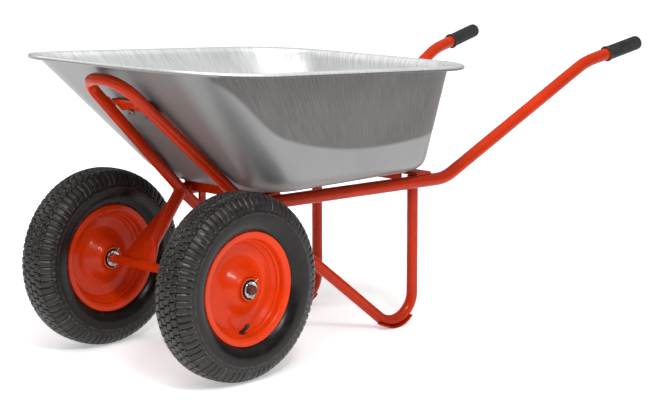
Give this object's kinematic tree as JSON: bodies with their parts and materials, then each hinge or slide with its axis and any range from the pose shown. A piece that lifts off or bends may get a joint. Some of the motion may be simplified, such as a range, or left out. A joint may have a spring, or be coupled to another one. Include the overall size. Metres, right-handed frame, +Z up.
{
  "type": "wheelbarrow",
  "caption": "Builder's wheelbarrow with a deep pressed-steel tray on a bent tube frame, pneumatic wheels side by side under its nose, V-shaped rear legs and rubber handle grips.",
  "frame": {"origin": "on the ground, in the middle plane, halfway along the length", "axes": "+X from the nose to the handles, +Y to the right-hand side, +Z up"},
  "size_m": [1.5104, 0.693, 0.6503],
  "materials": {
    "red_paint": "gloss orange-red paint",
    "tray_steel": "galvanised sheet, satin",
    "tyre_rubber": "matt black rubber",
    "tube_rubber": "matt",
    "grip_rubber": "matt",
    "bearing_steel": "polished",
    "zinc_plate": "zinc plated, satin",
    "valve_rubber": "satin"
  },
  "bodies": {
    "frame": {"tray": "tray_steel", "front_hoop": "red_paint", "hoop_brace": "red_paint", "axle": "red_paint", "front_crossmember": "red_paint", "rear_crossmember": "red_paint", "left_rail": "red_paint", "left_grip": "grip_rubber", "left_leg": "red_paint", "left_skid": "red_paint", "left_strut": "red_paint", "left_gusset": "red_paint", "left_stay": "red_paint", "left_outer_washer": "zinc_plate", "left_inner_washer": "zinc_plate", "left_outer_split_pin": "zinc_plate", "left_inner_split_pin": "zinc_plate", "left_front_bolt": "zinc_plate", "left_front_nut": "zinc_plate", "left_rear_bolt": "zinc_plate", "left_rear_nut": "zinc_plate", "left_brace_bolt": "zinc_plate", "left_brace_nut": "zinc_plate", "right_rail": "red_paint", "right_grip": "grip_rubber", "right_leg": "red_paint", "right_skid": "red_paint", "right_strut": "red_paint", "right_gusset": "red_paint", "right_stay": "red_paint", "right_outer_washer": "zinc_plate", "right_inner_washer": "zinc_plate", "right_outer_split_pin": "zinc_plate", "right_inner_split_pin": "zinc_plate", "right_front_bolt": "zinc_plate", "right_front_nut": "zinc_plate", "right_rear_bolt": "zinc_plate", "right_rear_nut": "zinc_plate", "right_brace_bolt": "zinc_plate", "right_brace_nut": "zinc_plate"},
    "left_wheel": {"left_tyre": "tyre_rubber", "left_inner_tube": "tube_rubber", "left_outer_rim": "red_paint", "left_inner_rim": "red_paint", "left_hub": "red_paint", "left_outer_bearing": "bearing_steel", "left_inner_bearing": "bearing_steel", "left_valve_stem": "valve_rubber", "left_valve_cap": "valve_rubber"},
    "right_wheel": {"right_tyre": "tyre_rubber", "right_inner_tube": "tube_rubber", "right_outer_rim": "red_paint", "right_inner_rim": "red_paint", "right_hub": "red_paint", "right_outer_bearing": "bearing_steel", "right_inner_bearing": "bearing_steel", "right_valve_stem": "valve_rubber", "right_valve_cap": "valve_rubber"}
  },
  "joints": [
    {"name": "left_wheel_spin", "type": "hinge", "parent": "frame", "child": "left_wheel", "pos_m": [-0.56, -0.219, 0.195], "axis": [0, 1, 0], "continuous": true},
    {"name": "right_wheel_spin", "type": "hinge", "parent": "frame", "child": "right_wheel", "pos_m": [-0.56, 0.219, 0.195], "axis": [0, 1, 0], "continuous": true}
  ]
}
